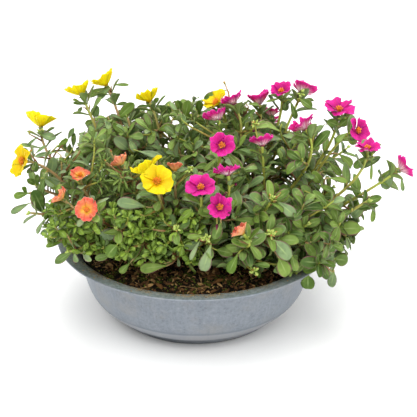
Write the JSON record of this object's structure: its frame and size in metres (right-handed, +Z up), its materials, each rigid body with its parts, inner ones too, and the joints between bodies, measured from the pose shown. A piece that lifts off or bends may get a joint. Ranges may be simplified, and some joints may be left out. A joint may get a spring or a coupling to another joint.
{
  "type": "potted portulaca",
  "caption": "Flowering portulaca in yellow, magenta and coral, growing in a low round zinc bowl filled with soil.",
  "frame": {"origin": "middle of the bowl's flat underside", "axes": "+Z up out of the bowl, -Y towards the side that the picture shows, +X to that side's right"},
  "size_m": [0.38, 0.2846, 0.2386],
  "materials": {
    "zinc": "satin",
    "soil": "matte",
    "foliage": "satin",
    "yellow_petals": "satin",
    "magenta_petals": "satin",
    "coral_petals": "satin"
  },
  "bodies": {
    "root": {"bowl": "zinc", "soil": "soil", "stem_1": "foliage", "stem_2": "foliage", "stem_3": "foliage", "stem_4": "foliage", "stem_5": "foliage", "stem_6": "foliage", "stem_7": "foliage", "stem_8": "foliage", "stem_9": "foliage", "stem_10": "foliage", "stem_11": "foliage", "stem_12": "foliage", "stem_13": "foliage", "stem_14": "foliage", "stem_15": "foliage", "stem_16": "foliage", "stem_17": "foliage", "stem_18": "foliage", "stem_19": "foliage", "stem_20": "foliage", "stem_21": "foliage", "stem_22": "foliage", "stem_23": "foliage", "stem_24": "foliage", "stem_25": "foliage", "stem_26": "foliage", "yellow_1": "yellow_petals", "yellow_2": "yellow_petals", "yellow_3": "yellow_petals", "yellow_4": "yellow_petals", "yellow_5": "yellow_petals", "yellow_6": "yellow_petals", "yellow_7": "yellow_petals", "yellow_8": "yellow_petals", "yellow_9": "yellow_petals", "magenta_1": "magenta_petals", "magenta_2": "magenta_petals", "magenta_3": "magenta_petals", "magenta_4": "magenta_petals", "magenta_5": "magenta_petals", "magenta_6": "magenta_petals", "magenta_7": "magenta_petals", "magenta_8": "magenta_petals", "magenta_9": "magenta_petals", "magenta_10": "magenta_petals", "magenta_11": "magenta_petals", "magenta_12": "magenta_petals", "magenta_13": "magenta_petals", "magenta_14": "magenta_petals", "magenta_15": "magenta_petals", "magenta_16": "magenta_petals", "magenta_17": "magenta_petals", "coral_1": "coral_petals", "coral_2": "coral_petals", "coral_3": "coral_petals", "coral_4": "coral_petals", "coral_5": "coral_petals", "coral_6": "coral_petals"}
  },
  "joints": []
}
